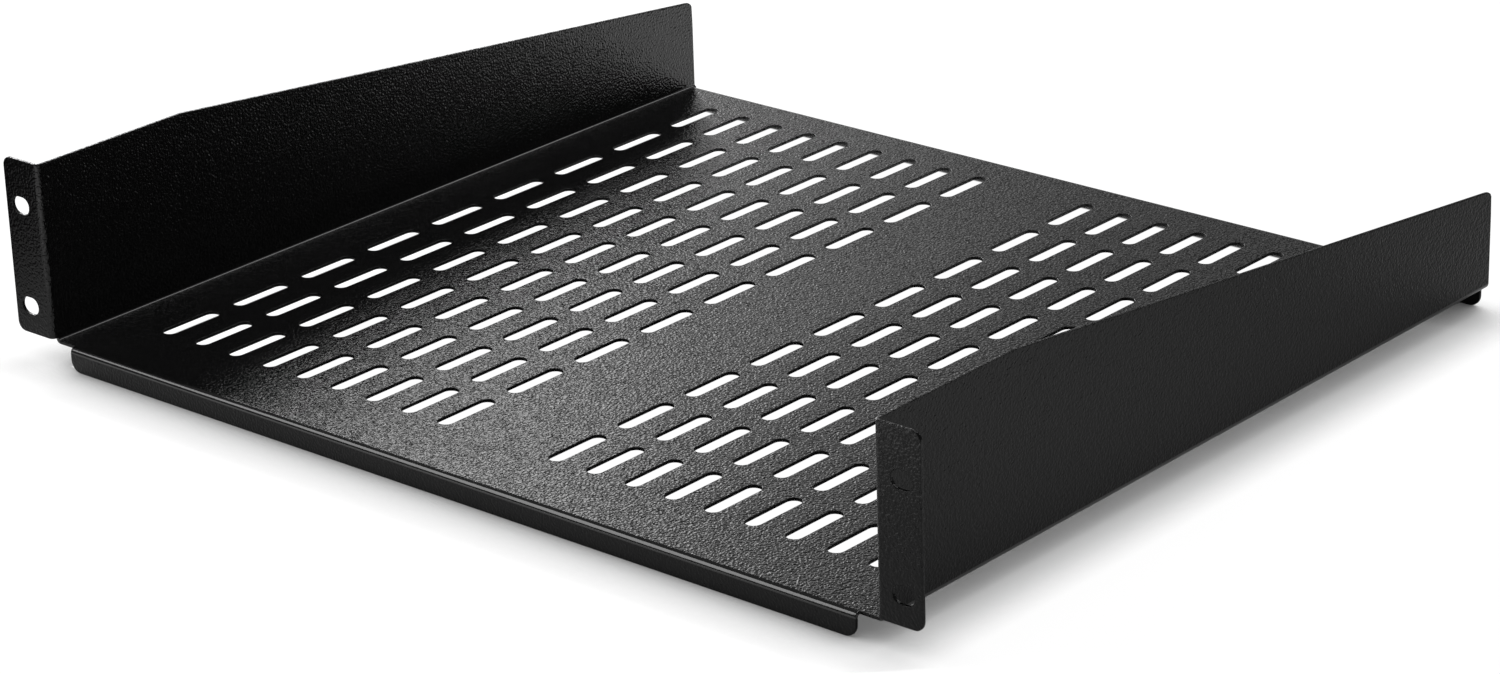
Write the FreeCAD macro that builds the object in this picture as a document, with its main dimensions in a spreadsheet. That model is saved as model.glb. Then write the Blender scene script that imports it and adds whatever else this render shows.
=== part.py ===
"""A vented cantilever shelf for a 19-inch equipment rack, folded from one steel sheet.

The shelf is symmetric, so its right half is modelled and mirrored. The half is drawn from the ears'
front face (y = 0) towards the back, from the middle (x = 0) to the right, and up from the lower
edge of the lips (z = 0). The body is then moved so that its origin is the middle of its underside.
"""
import FreeCAD, Part
import os
import Sketcher

DIMENSIONS = [
    ("sheet_thickness", 1.5, "steel sheet with its coat"),
    ("bend_inside_radius", 1.0, "inner radius of every fold"),
    ("tray_width", 443.0, "outside of one side wall to outside of the other"),
    ("overall_depth", 405.0, "front face of the ears to the rear edge of the walls"),
    ("lip_height", 10.4, "lower edge of the lips to the top of the tray"),
    ("front_lip_setback", 0.4, "front face of the ears to the front lip"),
    ("front_lip_end_gap", 10.0, "inside of a wall to the end of the front lip"),
    ("rear_lip_slit", 0.8, "slit between the end of the rear lip and a wall's fold"),
    ("lip_corner_radius", 5.0, "lower corners of both lips"),
    ("wall_level_length", 80.0, "front face of the ears to where a wall's top starts to fall"),
    ("wall_fall", 36.2, "how far a wall's top falls towards the back"),
    ("wall_corner_radius", 4.0, "upper rear corner of a wall"),
    ("ear_reach", 19.8, "outside of a wall to the outer edge of its ear"),
    ("ear_corner_radius", 4.0, "outer corners of an ear"),
    ("ear_hole_spacing", 44.45, "between the two holes of an ear, one rack unit"),
    ("ear_hole_top_margin", 20.25, "upper hole to the top of the ear"),
    ("ear_hole_bottom_margin", 12.4, "lower hole to the bottom of the ear"),
    ("ear_hole_edge_margin", 8.75, "holes to the outer edge of the ear"),
    ("ear_hole_length", 10.0, "length of an ear hole, across the rack"),
    ("ear_hole_height", 7.5, "height of an ear hole"),
    ("vent_length", 30.0, "length of a vent slot, front to back"),
    ("vent_width", 7.0, "width of a vent slot"),
    ("vent_end_bridge", 10.0, "metal between two slots end to end"),
    ("vent_side_bridge", 13.0, "metal between two slots side by side"),
    ("vent_front_margin", 35.0, "front face of the ears to the first row of slots"),
    ("vent_middle_strip", 53.0, "plain strip between the two fields of slots"),
    ("vent_least_side_margin", 25.0, "least plain width beside a wall"),
    ("vent_least_rear_margin", 16.0, "least plain depth behind the last row"),
]

# Sizes that follow from the driving ones, as formulas on the sheet
BEND_OUTSIDE = "(dims.bend_inside_radius + dims.sheet_thickness)"
WALL_OUTSIDE = "(dims.tray_width / 2)"
WALL_INSIDE = "(dims.tray_width / 2 - dims.sheet_thickness)"
TRAY_FLAT = f"({WALL_INSIDE} - dims.bend_inside_radius)"
TRAY_TOP = "dims.lip_height"
TRAY_UNDER = "(dims.lip_height - dims.sheet_thickness)"
TRAY_FRONT = f"(dims.front_lip_setback + {BEND_OUTSIDE})"
REAR_FOLD = f"(dims.overall_depth - {BEND_OUTSIDE})"
LIP_FLAT = f"(dims.lip_height - {BEND_OUTSIDE})"
FRONT_LIP_END = f"({WALL_INSIDE} - dims.front_lip_end_gap)"
REAR_LIP_END = f"({TRAY_FLAT} - dims.rear_lip_slit)"
EAR_BOTTOM = "(dims.lip_height + dims.bend_inside_radius)"
LOWER_HOLE = f"({EAR_BOTTOM} + dims.ear_hole_bottom_margin)"
UPPER_HOLE = f"({LOWER_HOLE} + dims.ear_hole_spacing)"
WALL_TOP = f"({UPPER_HOLE} + dims.ear_hole_top_margin)"
WALL_REAR_TOP = f"({WALL_TOP} - dims.wall_fall)"
EAR_EDGE = f"({WALL_OUTSIDE} + dims.ear_reach)"
EAR_HOLE_ACROSS = f"({EAR_EDGE} - dims.ear_hole_edge_margin)"
VENT_FIRST_ROW = "(dims.vent_front_margin + dims.vent_length / 2)"
VENT_FIRST_COLUMN = "(dims.vent_middle_strip / 2 + dims.vent_width / 2)"
VENT_ROW_PITCH = "(dims.vent_length + dims.vent_end_bridge)"
VENT_COLUMN_PITCH = "(dims.vent_width + dims.vent_side_bridge)"
VENT_ROWS = (f"floor((dims.overall_depth - dims.vent_least_rear_margin - dims.vent_front_margin"
             f" + dims.vent_end_bridge) / {VENT_ROW_PITCH})")
VENT_COLUMNS = (f"floor(({WALL_INSIDE} - dims.vent_least_side_margin - dims.vent_middle_strip / 2"
                f" + dims.vent_side_bridge) / {VENT_COLUMN_PITCH})")

doc = FreeCAD.newDocument("rack_shelf")

sheet = doc.addObject("Spreadsheet::Sheet", "dims")
for row, (name, value, meaning) in enumerate(DIMENSIONS, start=1):
    sheet.set(f"A{row}", meaning)
    sheet.set(f"B{row}", str(value))
    sheet.setAlias(f"B{row}", name)
doc.recompute()

body = doc.addObject("PartDesign::Body", "shelf")
body.Label = "shelf"
origin = {feature.Role: feature for feature in body.Origin.OriginFeatures}


def size(formula):
    """Gives the present value of a formula on the sheet, in millimetres."""
    return float(sheet.evalExpression(formula))


QUARTER_TURN, HALF_TURN = 90, 180

# An edge's own points, and the sketch's origin, as constraints number them
START, END, CENTRE = 1, 2, 3
SKETCH_ORIGIN = (-1, 1)


class Outline:
    """A closed outline of lines and arcs on one of the body's planes, each point tied to the sheet."""

    def __init__(self, plane, name, lift=None):
        self.sketch = body.newObject("Sketcher::SketchObject", name)
        self.sketch.AttachmentSupport = (origin[plane], [""])
        self.sketch.MapMode = "FlatFace"
        if lift:
            self.sketch.setExpression("AttachmentOffset.Base.z", lift)

    def begin(self, across, up):
        """Starts a closed loop at a point."""
        self.first = self.here = (across, up)
        self.loop = []

    def line(self, across, up):
        """Draws a straight edge to a point."""
        segment = Part.LineSegment(self.vector(self.here), self.vector((across, up)))
        self.add(segment, START, END, target=(across, up))

    def arc(self, across, up, centre, turns_left):
        """Draws an arc round a centre to a point, turning left or right."""
        points = [self.vector(self.here), self.vector((across, up))]
        middle = self.vector(centre)
        start, end = (points if turns_left else points[::-1])
        circle = Part.Circle(middle, FreeCAD.Vector(0, 0, 1), (start - middle).Length)
        segment = Part.ArcOfCircle(circle, circle.parameter(start), circle.parameter(end))
        first, last = (START, END) if turns_left else (END, START)
        self.add(segment, first, last, target=(across, up))
        chord = end - start
        edge = self.loop[-1][0]
        if abs(chord.x) > abs(chord.y):
            self.tie(edge, CENTRE, "DistanceY", centre[1])
        else:
            self.tie(edge, CENTRE, "DistanceX", centre[0])

    def close(self):
        """Joins the loop's edges end to end."""
        for (edge, _, end), (following, start, _) in zip(self.loop, self.loop[1:] + self.loop[:1]):
            self.sketch.addConstraint(Sketcher.Constraint("Coincident", edge, end, following, start))

    def slot(self, across, up, length, width, upright=False, end_sides=None):
        """Draws a round-ended slot about its centre, lying across the sketch or upright in it.

        Each end is one arc, or a half ring of straight sides where the slot is repeated many times.
        """
        half_run = f"(({length} - {width}) / 2)"
        radius = f"({width} / 2)"

        def place(run, side):
            """Turns a distance along the slot and one to its left into a point of the sketch."""
            if upright:
                return f"{across} - {side}", f"{up} + {run}"
            return f"{across} + {run}", f"{up} + {side}"

        def round_end(middle, first_angle):
            """Goes half round an end, to the left, from an angle in degrees."""
            if end_sides is None:
                last = first_angle + HALF_TURN
                self.arc(*on_ring(middle, last), centre=place(middle, "0"), turns_left=True)
                return
            for side in range(1, end_sides + 1):
                self.line(*on_ring(middle, first_angle + side * HALF_TURN / end_sides))

        def on_ring(middle, angle):
            """Gives the point of an end's circle at an angle from the slot's run."""
            return place(f"({middle} + {radius} * cos({angle}))", f"({radius} * sin({angle}))")

        near = f"(0 - {half_run})"
        self.begin(*on_ring(near, -QUARTER_TURN))
        self.line(*on_ring(half_run, -QUARTER_TURN))
        round_end(half_run, -QUARTER_TURN)
        self.line(*on_ring(near, QUARTER_TURN))
        round_end(near, QUARTER_TURN)
        self.close()

    def vector(self, point):
        return FreeCAD.Vector(size(point[0]), size(point[1]), 0)

    def add(self, segment, start, end, target):
        """Adds an edge and ties its far end to the sheet."""
        edge = self.sketch.addGeometry(segment, False)
        self.loop.append((edge, start, end))
        self.tie(edge, end, "DistanceX", target[0])
        self.tie(edge, end, "DistanceY", target[1])
        self.here = target

    def tie(self, edge, point, direction, formula):
        """Binds one coordinate of a point to a formula on the sheet."""
        constraint = Sketcher.Constraint(direction, *SKETCH_ORIGIN, edge, point, size(formula))
        number = self.sketch.addConstraint(constraint)
        self.sketch.setExpression(f"Constraints[{number}]", formula)


def pad(name, outline, length, backwards=False):
    """Thickens an outline along its plane's normal."""
    feature = body.newObject("PartDesign::Pad", name)
    feature.Profile = outline.sketch
    feature.Reversed = backwards
    feature.setExpression("Length", length)
    doc.recompute()


def cut_through(name, outline):
    """Cuts an outline out of everything in front of its plane and behind it."""
    before = body.Shape.Volume
    feature = body.newObject("PartDesign::Pocket", name)
    feature.Profile = outline.sketch
    feature.SideType = "Symmetric"
    feature.Type = "ThroughAll"
    doc.recompute()
    if body.Shape.Volume >= before:
        raise RuntimeError(f"{name} cut nothing")
    return feature


def round_corners(name, radius, places):
    """Rounds the edges across the sheet's thickness that pass nearest to the given places."""
    base = body.Tip
    names = []
    for place in places:
        point = Part.Vertex(*[size(formula) for formula in place])
        edges = base.Shape.Edges
        nearest = min(range(len(edges)), key=lambda i: (edges[i].CenterOfMass - point.Point).Length)
        names.append(f"Edge{nearest + 1}")
    feature = body.newObject("PartDesign::Fillet", name)
    feature.Base = (base, names)
    feature.setExpression("Radius", radius)
    doc.recompute()


# Tray and side wall: an L with one fold, drawn as the section seen from the front
section = Outline("XZ_Plane", "tray_and_wall_section", lift=f"0 - {TRAY_FRONT}")
section.begin("0", TRAY_UNDER)
section.line(TRAY_FLAT, TRAY_UNDER)
section.arc(WALL_OUTSIDE, EAR_BOTTOM, centre=(TRAY_FLAT, EAR_BOTTOM), turns_left=True)
section.line(WALL_OUTSIDE, WALL_TOP)
section.line(WALL_INSIDE, WALL_TOP)
section.line(WALL_INSIDE, EAR_BOTTOM)
section.arc(TRAY_FLAT, TRAY_TOP, centre=(TRAY_FLAT, EAR_BOTTOM), turns_left=False)
section.line("0", TRAY_TOP)
section.line("0", TRAY_UNDER)
section.close()
pad("tray_and_wall", section, f"dims.overall_depth - {TRAY_FRONT}", backwards=True)

# Wall top: level behind the ear, then falling straight to the back, with a rounded corner
above_wall = Outline("YZ_Plane", "above_wall")
CLEAR_OF_WALL = f"({WALL_TOP} + dims.wall_fall)"
CLEAR_OF_REAR = "(dims.overall_depth + dims.wall_fall)"
above_wall.begin("dims.wall_level_length", WALL_TOP)
above_wall.line("dims.overall_depth", WALL_REAR_TOP)
above_wall.line(CLEAR_OF_REAR, WALL_REAR_TOP)
above_wall.line(CLEAR_OF_REAR, CLEAR_OF_WALL)
above_wall.line("dims.wall_level_length", CLEAR_OF_WALL)
above_wall.line("dims.wall_level_length", WALL_TOP)
above_wall.close()
cut_through("wall_taper", above_wall)
WALL_MIDDLE = f"({WALL_OUTSIDE} - dims.sheet_thickness / 2)"
wall_rear_corner = (WALL_MIDDLE, "dims.overall_depth", WALL_REAR_TOP)
round_corners("wall_corner", "dims.wall_corner_radius", [wall_rear_corner])

# Rack ear: the wall's front edge folded outwards, from the wall's own fold up to its top
EAR_FOLD = f"({WALL_INSIDE} + {BEND_OUTSIDE})"
ear_plan = Outline("XY_Plane", "ear_plan", lift=EAR_BOTTOM)
ear_plan.begin(WALL_INSIDE, TRAY_FRONT)
ear_plan.line(WALL_INSIDE, BEND_OUTSIDE)
ear_plan.arc(EAR_FOLD, "0", centre=(EAR_FOLD, BEND_OUTSIDE), turns_left=True)
ear_plan.line(EAR_EDGE, "0")
ear_plan.line(EAR_EDGE, "dims.sheet_thickness")
ear_plan.line(EAR_FOLD, "dims.sheet_thickness")
ear_plan.arc(WALL_OUTSIDE, BEND_OUTSIDE, centre=(EAR_FOLD, BEND_OUTSIDE), turns_left=False)
ear_plan.line(WALL_OUTSIDE, TRAY_FRONT)
ear_plan.line(WALL_INSIDE, TRAY_FRONT)
ear_plan.close()
pad("ear", ear_plan, f"{WALL_TOP} - {EAR_BOTTOM}")
ear_corners = [(EAR_EDGE, "dims.sheet_thickness / 2", height) for height in (EAR_BOTTOM, WALL_TOP)]
round_corners("ear_corners", "dims.ear_corner_radius", ear_corners)

ear_holes = Outline("XZ_Plane", "ear_holes")
for height in (LOWER_HOLE, UPPER_HOLE):
    ear_holes.slot(EAR_HOLE_ACROSS, height, "dims.ear_hole_length", "dims.ear_hole_height")
cut_through("ear_hole_pair", ear_holes)

# Front lip: folded down from the tray, its end clear of the wall
LIP_ROUNDING = f"min(dims.lip_corner_radius; {LIP_FLAT})"
front_lip = Outline("YZ_Plane", "front_lip_section")
FRONT_LIP_BACK = "(dims.front_lip_setback + dims.sheet_thickness)"
front_lip.begin(TRAY_FRONT, TRAY_UNDER)
front_lip.line(TRAY_FRONT, TRAY_TOP)
front_lip.arc("dims.front_lip_setback", LIP_FLAT, centre=(TRAY_FRONT, LIP_FLAT), turns_left=True)
front_lip.line("dims.front_lip_setback", "0")
front_lip.line(FRONT_LIP_BACK, "0")
front_lip.line(FRONT_LIP_BACK, LIP_FLAT)
front_lip.arc(TRAY_FRONT, TRAY_UNDER, centre=(TRAY_FRONT, LIP_FLAT), turns_left=False)
front_lip.close()
pad("front_lip", front_lip, FRONT_LIP_END)
FRONT_LIP_MIDDLE = "(dims.front_lip_setback + dims.sheet_thickness / 2)"
round_corners("front_lip_corner", LIP_ROUNDING, [(FRONT_LIP_END, FRONT_LIP_MIDDLE, "0")])

# Rear lip: the tray is cut free of the wall's fold and folded down, flush with the wall's edge
rear_notch = Outline("XY_Plane", "rear_notch")
rear_notch.begin("0", REAR_FOLD)
rear_notch.line(TRAY_FLAT, REAR_FOLD)
rear_notch.line(TRAY_FLAT, CLEAR_OF_REAR)
rear_notch.line("0", CLEAR_OF_REAR)
rear_notch.line("0", REAR_FOLD)
rear_notch.close()
cut_through("rear_notch_cut", rear_notch)

rear_lip = Outline("YZ_Plane", "rear_lip_section")
REAR_LIP_FRONT = "(dims.overall_depth - dims.sheet_thickness)"
rear_lip.begin(REAR_FOLD, TRAY_TOP)
rear_lip.line(REAR_FOLD, TRAY_UNDER)
rear_lip.arc(REAR_LIP_FRONT, LIP_FLAT, centre=(REAR_FOLD, LIP_FLAT), turns_left=False)
rear_lip.line(REAR_LIP_FRONT, "0")
rear_lip.line("dims.overall_depth", "0")
rear_lip.line("dims.overall_depth", LIP_FLAT)
rear_lip.arc(REAR_FOLD, TRAY_TOP, centre=(REAR_FOLD, LIP_FLAT), turns_left=True)
rear_lip.close()
pad("rear_lip", rear_lip, REAR_LIP_END)
REAR_LIP_MIDDLE = "(dims.overall_depth - dims.sheet_thickness / 2)"
round_corners("rear_lip_corner", LIP_ROUNDING, [(REAR_LIP_END, REAR_LIP_MIDDLE, "0")])

# The left half is the right one mirrored
whole = body.newObject("PartDesign::Mirrored", "both_halves")
whole.TransformMode = "Whole shape"
whole.MirrorPlane = (origin["YZ_Plane"], [""])
body.Tip = whole
doc.recompute()

# Vent slots: two fields of slots that run front to back, each round end a half ring of flat sides
VENT_END_SIDES = 6
vent = Outline("XY_Plane", "vent_outline")
vent.slot(VENT_FIRST_COLUMN, VENT_FIRST_ROW, "dims.vent_length", "dims.vent_width",
          upright=True, end_sides=VENT_END_SIDES)
first_vent = cut_through("first_vent", vent)

vent_field = body.newObject("PartDesign::LinearPattern", "vent_field")
vent_field.Direction = (origin["X_Axis"], [""])
vent_field.Direction2 = (origin["Y_Axis"], [""])
vent_field.Mode = vent_field.Mode2 = "Extent"
vent_field.setExpression("Length", f"{VENT_COLUMN_PITCH} * ({VENT_COLUMNS} - 1)")
vent_field.setExpression("Length2", f"{VENT_ROW_PITCH} * ({VENT_ROWS} - 1)")
vent_field.setExpression("Occurrences", VENT_COLUMNS)
vent_field.setExpression("Occurrences2", VENT_ROWS)
other_field = body.newObject("PartDesign::Mirrored", "other_vent_field")
other_field.MirrorPlane = (origin["YZ_Plane"], [""])
vents = body.newObject("PartDesign::MultiTransform", "vents")
vents.Originals = [first_vent]
vents.Transformations = [vent_field, other_field]
body.Tip = vents
body.setExpression("Placement.Base.y", "0 - dims.overall_depth / 2")
doc.recompute()

for item in doc.Objects:
    if "Invalid" in item.State or "Error" in item.State:
        raise RuntimeError(f"{item.Label} failed: {item.State}")
if body.Shape.isNull() or not body.Shape.isValid() or len(body.Shape.Solids) != 1:
    raise RuntimeError("shelf is not one valid solid")

os.makedirs("parts", exist_ok=True)
body.Shape.exportStep(f"parts/{body.Label}.step")
box = body.Shape.BoundBox
extent = f"{box.XLength:.2f} x {box.YLength:.2f} x {box.ZLength:.2f} mm"
print(f"{body.Label}: {extent}, {body.Shape.Volume:.0f} mm3")
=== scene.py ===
import math

import bpy
import numpy as np
from mathutils import Matrix, Vector


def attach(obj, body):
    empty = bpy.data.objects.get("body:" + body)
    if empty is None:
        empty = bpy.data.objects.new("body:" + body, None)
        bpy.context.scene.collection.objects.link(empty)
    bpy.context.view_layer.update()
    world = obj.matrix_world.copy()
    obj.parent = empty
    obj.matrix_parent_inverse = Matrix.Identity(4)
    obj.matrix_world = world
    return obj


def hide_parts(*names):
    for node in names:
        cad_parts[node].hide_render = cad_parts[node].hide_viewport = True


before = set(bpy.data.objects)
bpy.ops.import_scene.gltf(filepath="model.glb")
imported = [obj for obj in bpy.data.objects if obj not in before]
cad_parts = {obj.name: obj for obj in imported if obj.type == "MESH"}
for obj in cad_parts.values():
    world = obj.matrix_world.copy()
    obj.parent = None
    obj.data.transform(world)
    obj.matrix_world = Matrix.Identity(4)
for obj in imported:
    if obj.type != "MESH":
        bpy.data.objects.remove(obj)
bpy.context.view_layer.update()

# The shelf is one sheet of 1.5 mm steel, cut and punched flat, folded on a press brake and powder coated.
# The right half of the flat blank is drawn first, on the side that becomes the top of the tray. A place on
# it is a distance across from the middle and a distance along from the front face of the ears, in mm.

# Vent slots: two fields of nine by nine slots, which let warm air through the tray. A press punches them
# in the flat sheet. Each is drawn as a ring of faces, out to the edge of an oblong of sheet round it.
SLOT_LENGTH, SLOT_WIDTH = 30.0, 7.0
SLOT_COUNT = 9
ROUND_END_SIDES = 12
CELL_WIDTH, CELL_LENGTH = 20.0, 40.0
LINES_ACROSS_CELL = 7
LINES_AT_CELL_END = 4
FIELD_LEFT, FIELD_FRONT = 20.0, 30.0


def lattice(across, along):
    """Every pair of a line across and a line along, as an array of places."""
    return np.stack(np.meshgrid(across, along, indexing="ij"), axis=-1)


def slot_outline(length, width):
    """A slot along the sheet, counterclockwise: half a circle, a straight side, and both turned round."""
    angles = np.linspace(0, math.pi, ROUND_END_SIDES + 1)
    far_end = np.stack([np.cos(angles), np.sin(angles)], axis=-1) * width / 2
    far_end[:, 1] += (length - width) / 2
    half_outline = np.concatenate([far_end, [[-width / 2, 0.0]]])
    return np.concatenate([half_outline, -half_outline])


def surround(across, along):
    """Goes once round a rectangle of lines, counterclockwise, in step with the slot's outline in it.

    The first place is on the right side, level with the start of the slot's round far end.
    """
    right, left = along[:-1], along[:0:-1]
    far, near = across[:0:-1], across[:-1]
    up = np.stack([np.full_like(right, across[-1]), right], axis=-1)
    back = np.stack([far, np.full_like(far, along[-1])], axis=-1)
    down = np.stack([np.full_like(left, across[0]), left], axis=-1)
    forth = np.stack([near, np.full_like(near, along[0])], axis=-1)
    far_end_start = LINES_AT_CELL_END + 1
    return np.roll(np.concatenate([up, back, down, forth]), -far_end_start, axis=0)


slot_straight = (SLOT_LENGTH - SLOT_WIDTH) / 2
cell_across = np.linspace(0, CELL_WIDTH, LINES_ACROSS_CELL)
cell_along = CELL_LENGTH / 2 + np.concatenate([
    np.linspace(-CELL_LENGTH / 2, -slot_straight, LINES_AT_CELL_END),
    [0.0],
    np.linspace(slot_straight, CELL_LENGTH / 2, LINES_AT_CELL_END)])
slot_ring = slot_outline(SLOT_LENGTH, SLOT_WIDTH) + [CELL_WIDTH / 2, CELL_LENGTH / 2]
one_cell = np.stack([slot_ring, surround(cell_across, cell_along)])
steps = np.arange(SLOT_COUNT)
cell_corners = lattice(FIELD_LEFT + CELL_WIDTH * steps, FIELD_FRONT + CELL_LENGTH * steps)
cells = cell_corners.reshape(-1, 1, 1, 2) + one_cell
panels = [(cell, True) for cell in cells]

# Tray: the flat floor that equipment stands on, with plain sheet in the middle, beside the walls, and in
# front of and behind the slots. The ends of the lips and walls add lines to it, so that they all join up.
DEPTH = 405.0
TRAY_HALF = 219.0
TRAY_FRONT, TRAY_REAR = 2.9, 402.5
FRONT_LIP_HALF, REAR_LIP_HALF = 210.0, 218.2
LIP_CORNER = 5.0
WALL_CORNER = 4.0
CORNER_ANGLES = np.radians([0.0, 15.0, 30.0, 45.0])
LINE_DIGITS = 6


def corner_lines(end, radius):
    """Lines up to a rounded corner's edge, whose rays from the arc's centre turn by equal angles.

    Each lies past the centre by the radius times the tangent of its angle. A negative radius
    gives the lines of a corner that faces the other way.
    """
    return end - radius * (1 - np.tan(CORNER_ANGLES))


field_across = np.unique(np.round(FIELD_LEFT + CELL_WIDTH * steps[:, None] + cell_across, LINE_DIGITS))
field_along = np.unique(np.round(FIELD_FRONT + CELL_LENGTH * steps[:, None] + cell_along, LINE_DIGITS))
front_lip_end = corner_lines(FRONT_LIP_HALF, LIP_CORNER)
rear_lip_end = corner_lines(REAR_LIP_HALF, LIP_CORNER)
middle_across = np.array([0.0, FIELD_LEFT])
side_across = np.concatenate([field_across[-1:], front_lip_end, rear_lip_end, [TRAY_HALF]])
tray_along = np.concatenate([[TRAY_FRONT], field_along, [DEPTH - WALL_CORNER, TRAY_REAR]])
panels += [
    (lattice(middle_across, tray_along), False),
    (lattice(side_across, tray_along), False),
    (lattice(field_across, tray_along[tray_along <= field_along[0]]), False),
    (lattice(field_across, tray_along[tray_along >= field_along[-1]]), False),
]

# Lips: strips of the sheet in front of the tray and behind it, which will be folded down to stiffen its
# edges and to stand on. Their lower corners are cut round.
SHEET = 1.5
INNER_BEND = 1.0
OUTER_BEND = INNER_BEND + SHEET
QUARTER = math.pi / 2
FOLD_SIDES = 8
LIP_FLAT = 7.9
LIP_REACH = OUTER_BEND * QUARTER + LIP_FLAT


def round_corner(places, corner, first_edge, second_edge, radius):
    """Pulls places past an arc back onto it, along their rays from its centre.

    The two edges are unit vectors that point to the corner. The centre lies back from the corner by
    their sum times the radius, divided by the sine of the angle between them.
    """
    first_edge, second_edge = np.array(first_edge), np.array(second_edge)
    sine = abs(first_edge[0] * second_edge[1] - first_edge[1] * second_edge[0])
    centre = np.array(corner) - (first_edge + second_edge) * radius / sine
    ray = places - centre
    length = np.linalg.norm(ray, axis=-1, keepdims=True)
    beyond = (ray @ first_edge > 0) & (ray @ second_edge > 0)
    pulled = centre + ray * np.minimum(1, radius / np.maximum(length, radius / 2))
    return np.where(beyond[..., None], pulled, places)


lip_fold = np.linspace(0, OUTER_BEND * QUARTER, FOLD_SIDES + 1)
lip_lines = np.concatenate([lip_fold, corner_lines(LIP_REACH, LIP_CORNER)])
front_across = np.concatenate([[0.0], field_across, front_lip_end])
rear_across = np.concatenate([front_across, rear_lip_end])
front_lip = lattice(front_across, (TRAY_FRONT - lip_lines)[::-1])
rear_lip = lattice(rear_across, TRAY_REAR + lip_lines)
front_corner = (FRONT_LIP_HALF, TRAY_FRONT - LIP_REACH)
rear_corner = (REAR_LIP_HALF, TRAY_REAR + LIP_REACH)
panels += [
    (round_corner(front_lip, front_corner, (1, 0), (0, -1), LIP_CORNER), False),
    (round_corner(rear_lip, rear_corner, (1, 0), (0, 1), LIP_CORNER), False),
]

# Side wall: a wide strip past the fold that will stand it up beside the tray. Its top is level behind the
# ear, then falls to a rounded corner at the back. It has the rows of the ear, which is cut in one with it.
WALL_START = TRAY_HALF + INNER_BEND * QUARTER
WALL_HEIGHT, WALL_REAR_HEIGHT = 77.1, 40.9
WALL_LEVEL_END = 80.0
WALL_CORNER_LINE = 403.6
EAR_FOLD = 2.5
EAR_CORNER = 4.0
LOW_HOLE, HIGH_HOLE = 12.4, 56.85
ROW_ABOVE_LOW_HOLE, ROW_BELOW_HIGH_HOLE = 23.0, 46.0
ear_middle = (LOW_HOLE + HIGH_HOLE) / 2
ear_corner_lines = corner_lines(0.0, -EAR_CORNER)[::-1]
lower_rows = np.concatenate([ear_corner_lines, [LOW_HOLE, ROW_ABOVE_LOW_HOLE, ear_middle]])
upper_rows = np.concatenate([
    [ear_middle, ROW_BELOW_HIGH_HOLE, HIGH_HOLE], corner_lines(WALL_HEIGHT, EAR_CORNER)])
wall_rows = np.concatenate([lower_rows, upper_rows[1:]]) / WALL_HEIGHT
wall_along = np.concatenate([tray_along, [WALL_CORNER_LINE, DEPTH]])
wall_fold = TRAY_HALF + np.linspace(0, INNER_BEND * QUARTER, FOLD_SIDES + 1)
foot_along = np.concatenate([[EAR_FOLD], wall_along])
top_along = foot_along.copy()
top_along[np.abs(foot_along - WALL_LEVEL_END).argmin()] = WALL_LEVEL_END
wall_top = np.interp(top_along, [WALL_LEVEL_END, DEPTH], [WALL_HEIGHT, WALL_REAR_HEIGHT])
wall = np.stack([
    WALL_START + wall_rows[:, None] * wall_top,
    foot_along + wall_rows[:, None] * (top_along - foot_along)], axis=-1)
fall = np.array([WALL_REAR_HEIGHT - WALL_HEIGHT, DEPTH - WALL_LEVEL_END])
fall /= np.linalg.norm(fall)
wall = round_corner(wall, (WALL_START + WALL_REAR_HEIGHT, DEPTH), fall, (1, 0), WALL_CORNER)
panels += [(lattice(wall_fold, wall_along), False), (wall, False)]

# Rack ear: the strip in front of the wall, which will be turned out and screwed to the rack's rail. Its two
# round-ended holes are punched in the flat sheet, one rack unit apart.
EAR_START = EAR_FOLD - OUTER_BEND * QUARTER
EAR_WIDTH = 18.8
EAR_EDGE = EAR_START - EAR_WIDTH
EAR_HOLE_LENGTH, EAR_HOLE_WIDTH = 10.0, 7.5
EAR_HOLE_MARGIN = 8.75
LINES_PAST_HOLE = (12.5, 14.6, 16.7)
ear_fold = np.linspace(EAR_START, EAR_FOLD, FOLD_SIDES + 1)
ear_along = EAR_EDGE + np.concatenate([ear_corner_lines, [EAR_HOLE_MARGIN, *LINES_PAST_HOLE, EAR_WIDTH]])
ear_hole = slot_outline(EAR_HOLE_LENGTH, EAR_HOLE_WIDTH)
panels.append((lattice(WALL_START + wall_rows * WALL_HEIGHT, ear_fold), False))
for rows, hole, corner, edge in (
        (lower_rows, LOW_HOLE, 0.0, (-1, 0)),
        (upper_rows, HIGH_HOLE, WALL_HEIGHT, (1, 0))):
    outside = surround(WALL_START + rows, ear_along)
    outside = round_corner(outside, (WALL_START + corner, EAR_EDGE), edge, (0, -1), EAR_CORNER)
    inside = ear_hole + [WALL_START + hole, EAR_EDGE + EAR_HOLE_MARGIN]
    panels.append((np.stack([inside, outside]), True))

# Folding: the press brake stands the walls up, turns the ears out and folds the lips down. The sheet's
# thickness lies below and outside the drawn side, and its cut edges have lost their burr.
TRAY_TOP = 10.4
MM = 0.001
WELD_DIGITS = 4
EDGE_ROUNDING = 0.3
EDGE_SEGMENTS = 2
EDGE_ANGLE = math.radians(50)


def faces_of(places, ring):
    """Four-cornered faces between neighbouring rows and columns.

    In a ring, the last column is joined to the first.
    """
    index = np.arange(places.shape[0] * places.shape[1]).reshape(places.shape[:2])
    if ring:
        index = np.concatenate([index, index[:, :1]], axis=1)
    corners = [index[:-1, :-1], index[1:, :-1], index[1:, 1:], index[:-1, 1:]]
    return np.stack(corners, axis=-1).reshape(-1, 4)


def welded(places, faces):
    """Joins places that coincide on the blank, to a ten-thousandth of a millimetre."""
    kept, index = np.unique(np.round(places, WELD_DIGITS) + 0.0, axis=0, return_inverse=True)
    return kept, index.ravel()[faces]


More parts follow.
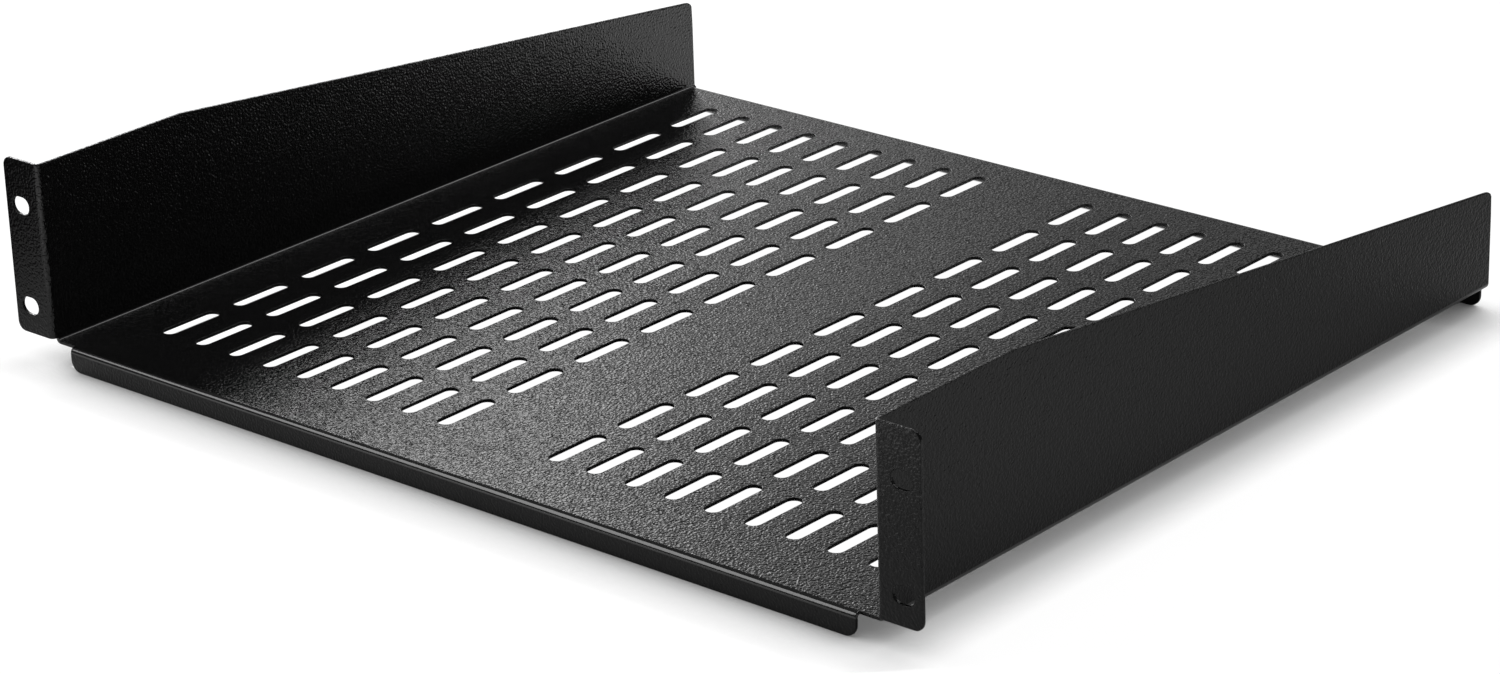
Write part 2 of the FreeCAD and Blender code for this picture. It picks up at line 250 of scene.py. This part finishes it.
def bend(past, radius):
    """How far a place goes on, and how far aside, past the start of a fold.

    Round the fold these are the radius times the sine of the turned angle, and times one less its
    cosine. After the quarter turn the rest of the distance all goes aside.
    """
    angle = np.minimum(past / radius, QUARTER)
    rest = np.maximum(past - radius * QUARTER, 0)
    return radius * np.sin(angle), radius * (1 - np.cos(angle)) + rest


def folded(across, along):
    """Where a place on the blank ends up in the room, in metres, by four folds worked out together.

    Each fold bends what lies past its start. The lips lie within the tray's width, the ears beyond it.
    """
    reach = np.abs(across)
    on_lips = reach < TRAY_HALF
    wall_on, wall_up = bend(np.maximum(reach - TRAY_HALF, 0), INNER_BEND)
    ear_on, ear_out = bend(np.where(on_lips, 0, np.maximum(EAR_FOLD - along, 0)), OUTER_BEND)
    front_on, front_down = bend(np.where(on_lips, np.maximum(TRAY_FRONT - along, 0), 0), OUTER_BEND)
    rear_on, rear_down = bend(np.where(on_lips, np.maximum(along - TRAY_REAR, 0), 0), OUTER_BEND)
    flat_along = np.where(on_lips, np.clip(along, TRAY_FRONT, TRAY_REAR), np.maximum(along, EAR_FOLD))
    right = np.sign(across) * (np.minimum(reach, TRAY_HALF) + wall_on + ear_out)
    back = flat_along - ear_on - front_on + rear_on - DEPTH / 2
    up = TRAY_TOP + wall_up - front_down - rear_down
    return np.stack([right, back, up], axis=-1) * MM


half_faces = []
count = 0
for places, ring in panels:
    half_faces.append(faces_of(places, ring) + count)
    count += places.shape[0] * places.shape[1]
half = np.concatenate([places.reshape(-1, 2) for places, ring in panels])
half_faces = np.concatenate(half_faces)
blank, blank_faces = welded(
    np.concatenate([half, half * [-1, 1]]),
    np.concatenate([half_faces, half_faces[:, ::-1] + count]))
shelf_mesh = bpy.data.meshes.new("shelf_sheet")
shelf_mesh.from_pydata(folded(*blank.T).tolist(), [], blank_faces.tolist())
shelf_mesh.polygons.foreach_set("use_smooth", np.ones(len(blank_faces), dtype=bool))
shelf_sheet = bpy.data.objects.new("shelf_sheet", shelf_mesh)
bpy.context.scene.collection.objects.link(shelf_sheet)

thickness = shelf_sheet.modifiers.new("sheet thickness", "SOLIDIFY")
thickness.thickness = SHEET * MM
thickness.offset = -1
thickness.use_even_offset = True
edges = shelf_sheet.modifiers.new("deburred edges", "BEVEL")
edges.width = EDGE_ROUNDING * MM
edges.segments = EDGE_SEGMENTS
edges.limit_method = "ANGLE"
edges.angle_limit = EDGE_ANGLE
edges.use_clamp_overlap = False
shading = shelf_sheet.modifiers.new("flat faces stay flat", "WEIGHTED_NORMAL")
shading.keep_sharp = False

# Powder coat: black polyester powder, sprayed on and baked. It sets to a fine pebbled skin with a satin
# gloss that varies a little over the sheet. Round the tray's folds it flows smoother and shines more.
# Lengths here and below are in metres.
PEBBLES_PER_METRE = 1000.0
PEBBLE_TWIST = 0.4
PEBBLE_DEPTH = 0.0003
CLOUDS_PER_METRE = 9.0
CLOUD_DETAIL = 2.0
BLACK_SHADED_IN_DIPS = (0.0025, 0.0025, 0.0026, 1.0)
BLACK_ON_PEBBLES = (0.0065, 0.0065, 0.0067, 1.0)
ROUGHNESS, CLOUD_ROUGHNESS = 0.12, 0.06
FOLD_CALM = 0.8
FOLD_COAT_IOR = 1.8
FOLD_FADE = 0.0006
MIX_COLOUR_A, MIX_COLOUR_B, MIX_COLOUR_OUT = 6, 7, 2


class Wire:
    """A socket of a finish's nodes. Sums and products of wires and numbers add Math nodes."""

    def __init__(self, tree, socket=None):
        self.tree = tree
        self.socket = socket

    def node(self, kind, settings, inputs, output=0):
        """Adds any node: its settings first, then a number or a wire on each named socket."""
        made = self.tree.nodes.new(kind)
        for name, value in settings.items():
            setattr(made, name, value)
        for name, value in inputs.items():
            if isinstance(value, Wire):
                self.tree.links.new(value.socket, made.inputs[name])
            else:
                made.inputs[name].default_value = value
        return Wire(self.tree, made.outputs[output] if made.outputs else None)

    def math(self, operation, *values):
        """Adds a Math node for one operation on wires and numbers."""
        return self.node("ShaderNodeMath", {"operation": operation}, dict(enumerate(values)))

    def __add__(self, other):
        return self.math("ADD", self, other)

    __radd__ = __add__

    def __mul__(self, other):
        return self.math("MULTIPLY", self, other)

    __rmul__ = __mul__

    def __sub__(self, other):
        return self.math("SUBTRACT", self, other)

    def __rsub__(self, other):
        return self.math("SUBTRACT", other, self)


def new_finish(name):
    """An empty material and a wire to start its nodes from."""
    material = bpy.data.materials.new(name)
    material.use_nodes = True
    material.node_tree.nodes.clear()
    return material, Wire(material.node_tree)


powder_coat, start = new_finish("powder_coat")
place = start.node("ShaderNodeTexCoord", {}, {}, output="Object")
right, back, up = [
    start.node("ShaderNodeSeparateXYZ", {}, {"Vector": place}, output=axis) for axis in "XYZ"]
past_side = start.math("ABSOLUTE", right) - TRAY_HALF * MM
past_end = start.math("ABSOLUTE", back) - (DEPTH / 2 - TRAY_FRONT) * MM
on_border = start.node("ShaderNodeMapRange", {}, {
    "Value": start.math("MAXIMUM", past_side, past_end), "From Min": 0.0, "From Max": FOLD_FADE})
fold_middle = TRAY_TOP + (INNER_BEND - OUTER_BEND) / 2
fold_reach = (INNER_BEND + OUTER_BEND) / 2
on_folds = on_border * start.math("COMPARE", up, fold_middle * MM, fold_reach * MM)
pebbles = start.node("ShaderNodeTexNoise", {}, {
    "Vector": place, "Scale": PEBBLES_PER_METRE, "Detail": 0.0, "Distortion": PEBBLE_TWIST})
cloud = start.node("ShaderNodeTexNoise", {}, {
    "Vector": place, "Scale": CLOUDS_PER_METRE, "Detail": CLOUD_DETAIL})
# The coat's black follows the pebbles' height: it is painted darker in their dips, as shade, and lighter on
# their tops.
black_with_painted_dip_shade = start.node(
    "ShaderNodeMix", {"data_type": "RGBA"},
    {"Factor": pebbles, MIX_COLOUR_A: BLACK_SHADED_IN_DIPS, MIX_COLOUR_B: BLACK_ON_PEBBLES},
    output=MIX_COLOUR_OUT)
skin = start.node("ShaderNodeBump", {}, {
    "Strength": 1.0, "Distance": PEBBLE_DEPTH, "Height": pebbles * (1 - FOLD_CALM * on_folds)})
coat = start.node("ShaderNodeBsdfPrincipled", {}, {
    "Base Color": black_with_painted_dip_shade,
    "Roughness": ROUGHNESS + CLOUD_ROUGHNESS * cloud,
    "Coat Weight": on_folds,
    "Coat IOR": FOLD_COAT_IOR,
    "Normal": skin})
start.node("ShaderNodeOutputMaterial", {}, {"Surface": coat})
shelf_mesh.materials.append(powder_coat)
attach(shelf_sheet, "root")
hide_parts("shelf")

# Floor: white paper that runs out of sight. The camera sees it glow white, with a painted shadow close to
# the shelf, where an occlusion node darkens the glow, and two painted white strips under the tray that the
# vent slots show. The coat mirrors it with painted shade at the left and three painted pools of light on it.
# A strip is its middle and half its width, and a pool its middle and its glow.
FLOOR_HALF = 6.0
FLOOR_SHADED = 0.25
FLOOR_GLOW = 0.93
SHADOW_REACH = 0.028
SHADOW_POWER = 1.6
SHADOW_LEAN = (-0.2, 0.5, 0.85)
SHADOW_SAMPLES = 2
NEAR_SHELF = 0.09
PAINTED_WHITE_STRIPS = ((0.0035, 0.1985), (-0.21, 0.0045))
STRIP_HALF_LENGTH = 0.2
STRIP_CORNER_CUT = 0.36
STRIP_FADE = 0.0015
DARK_UNTIL, WHITE_FROM = -0.37, -0.22
FLOOR_PAINTED_DARK, FLOOR_WHITE = 0.02, 0.62
PAINTED_LIGHT_POOLS = (((-0.1, 0.36, 0.0), 0.7), ((-0.14, -0.55, 0.0), 0.95), ((0.47, -0.05, 0.0), 0.15))
POOL_CORE, POOL_RIM = 0.05, 0.38


def grey(brightness):
    """A grey colour of one brightness."""
    return (brightness, brightness, brightness, 1.0)


def paper(start, colour, glow):
    """Matt paper that gives back light by its colour and adds a glow of its own."""
    return start.node("ShaderNodeBsdfPrincipled", {}, {
        "Base Color": colour,
        "Roughness": 1.0,
        "Specular IOR Level": 0.0,
        "Emission Color": glow,
        "Emission Strength": 1.0})


floor_corners = np.array([(-1, -1, 0), (1, -1, 0), (1, 1, 0), (-1, 1, 0)]) * FLOOR_HALF
floor_mesh = bpy.data.meshes.new("floor")
floor_mesh.from_pydata(floor_corners.tolist(), [], [(0, 1, 2, 3)])
floor = bpy.data.objects.new("floor", floor_mesh)
bpy.context.scene.collection.objects.link(floor)
white, start = new_finish("white_floor")
place = start.node("ShaderNodeTexCoord", {}, {}, output="Object")
right, back = [start.node("ShaderNodeSeparateXYZ", {}, {"Vector": place}, output=axis) for axis in "XY"]
# Under the tray the camera sees the paper glow white in two strips: painted light where the tray's shade
# falls.
past_strips = start.math("MINIMUM", *[
    start.math("ABSOLUTE", right - middle) - strip_half for middle, strip_half in PAINTED_WHITE_STRIPS])
past_strips = start.math("MAXIMUM", past_strips, start.math("ABSOLUTE", back) - STRIP_HALF_LENGTH)
past_strips = start.math("MAXIMUM", past_strips, right - back - STRIP_CORNER_CUT)
in_painted_strips = start.node("ShaderNodeMapRange", {}, {
    "Value": past_strips, "From Min": -STRIP_FADE, "From Max": 0.0, "To Min": 1.0, "To Max": 0.0})
# Near the shelf the glow is darkened by an ambient occlusion node that leans to one side: a painted shadow.
shadow_lean = start.node("ShaderNodeCombineXYZ", {}, dict(zip("XYZ", SHADOW_LEAN)))
openness = start.node(
    "ShaderNodeAmbientOcclusion", {"samples": SHADOW_SAMPLES},
    {"Distance": SHADOW_REACH, "Normal": shadow_lean}, output="AO")
glow_with_painted_shadow = FLOOR_GLOW * start.math("POWER", openness, SHADOW_POWER)
near_paper = paper(start, grey(FLOOR_SHADED), start.math("MAXIMUM", in_painted_strips, glow_with_painted_shadow))
far_paper = paper(start, grey(FLOOR_SHADED), grey(FLOOR_GLOW))
near = start.math("LESS_THAN", past_strips, NEAR_SHELF)
seen_paper = start.node("ShaderNodeMixShader", {}, {0: near, 1: far_paper, 2: near_paper})
# Pools of painted light: the paper glows in soft discs, for glossy rays only, so that the coat mirrors them.
painted_pools = 0.0
for pool_middle, pool_glow in PAINTED_LIGHT_POOLS:
    from_pool = start.node(
        "ShaderNodeVectorMath", {"operation": "DISTANCE"}, {0: place, 1: pool_middle}, output="Value")
    painted_pools += start.node("ShaderNodeMapRange", {"interpolation_type": "SMOOTHSTEP"}, {
        "Value": from_pool,
        "From Min": POOL_CORE, "From Max": POOL_RIM, "To Min": pool_glow, "To Max": 0.0})
# What the coat mirrors of the paper is painted darker toward the left, as shade.
mirrored_colour_with_painted_shade = start.node("ShaderNodeMapRange", {}, {
    "Value": right,
    "From Min": DARK_UNTIL, "From Max": WHITE_FROM, "To Min": FLOOR_PAINTED_DARK, "To Max": FLOOR_WHITE})
mirrored = start.node("ShaderNodeLightPath", {}, {}, output="Is Glossy Ray")
mirrored_paper = paper(start, mirrored_colour_with_painted_shade, mirrored * painted_pools)
seen = start.node("ShaderNodeLightPath", {}, {}, output="Is Camera Ray")
floor_paper = start.node("ShaderNodeMixShader", {}, {0: seen, 1: mirrored_paper, 2: seen_paper})
start.node("ShaderNodeOutputMaterial", {}, {"Surface": floor_paper})
floor_mesh.materials.append(white)

# Surround: the studio's walls, which the camera sees as plain white. They light the shelf only a little, so
# that the soft boxes draw its forms.
SURROUND_LIGHT = 0.08
world = bpy.data.worlds.new("surround")
bpy.context.scene.world = world
world.use_nodes = True
world.node_tree.nodes.clear()
start = Wire(world.node_tree)
seen = start.node("ShaderNodeLightPath", {}, {}, output="Is Camera Ray")
sky = start.node("ShaderNodeBackground", {}, {
    "Color": grey(1.0), "Strength": SURROUND_LIGHT + (1 - SURROUND_LIGHT) * seen})
start.node("ShaderNodeOutputWorld", {}, {"Surface": sky})


# Soft boxes: one hangs over the shelf and one stands at its left. A strip at the front left lights the fold
# of the front lip, the panels behind at the left lay a sheen on the tray, and the one at the back draws the
# fold of the left wall.
def soft_box(name, turn, height, away, width, length, brightness):
    """An oblong lamp that faces the shelf, at an angle round it from the front and one above the floor.

    Its power is pi times its area times the brightness that its face shows.
    """
    turn, height = math.radians(turn), math.radians(height)
    lamp = bpy.data.lights.new(name, "AREA")
    lamp.shape = "RECTANGLE"
    lamp.size, lamp.size_y = width, length
    lamp.energy = math.pi * width * length * brightness
    box = bpy.data.objects.new(name, lamp)
    box.visible_camera = False
    level = math.cos(height)
    towards = Vector((math.sin(turn) * level, -math.cos(turn) * level, math.sin(height)))
    facing = towards.to_track_quat("Z", "Y").to_matrix().to_4x4()
    box.matrix_world = Matrix.Translation(away * towards) @ facing
    bpy.context.scene.collection.objects.link(box)


soft_box("top_light", turn=0, height=90, away=1.2, width=0.7, length=0.7, brightness=2.0)
soft_box("left_light", turn=262, height=20, away=1.2, width=0.6, length=0.6, brightness=4.5)
soft_box("front_strip", turn=319, height=35, away=1.3, width=0.66, length=0.75, brightness=1.7)
soft_box("sheen_panel", turn=242.5, height=18, away=1.2, width=0.65, length=0.65, brightness=2.2)
soft_box("middle_panel", turn=226, height=14, away=1.6, width=0.6, length=0.6, brightness=0.42)
soft_box("low_panel", turn=218, height=20, away=2.2, width=1.0, length=1.0, brightness=0.31)
soft_box("back_panel", turn=162, height=45, away=1.6, width=0.6, length=0.8, brightness=1.4)

# Camera: in front of the shelf, to its right and above it, as far off as the photograph's perspective says,
# and turned a little about its own axis, as the photograph is.
CAMERA_PLACE = Vector((1.12262, -1.29653, 0.69466))
CAMERA_AIM = Vector((-0.00732, -0.00614, 0.0))
CAMERA_ROLL = math.radians(-1.7935)
CAMERA_LENS, CAMERA_SENSOR = 106.276, 36.0
camera_data = bpy.data.cameras.new("camera")
camera_data.lens = CAMERA_LENS
camera_data.sensor_width = CAMERA_SENSOR
camera = bpy.data.objects.new("camera", camera_data)
bpy.context.scene.collection.objects.link(camera)
facing = (CAMERA_AIM - CAMERA_PLACE).to_track_quat("-Z", "Y").to_matrix()
turned = facing @ Matrix.Rotation(CAMERA_ROLL, 3, "Z")
camera.matrix_world = Matrix.Translation(CAMERA_PLACE) @ turned.to_4x4()
bpy.context.scene.camera = camera
bpy.context.scene.view_settings.view_transform = "Standard"
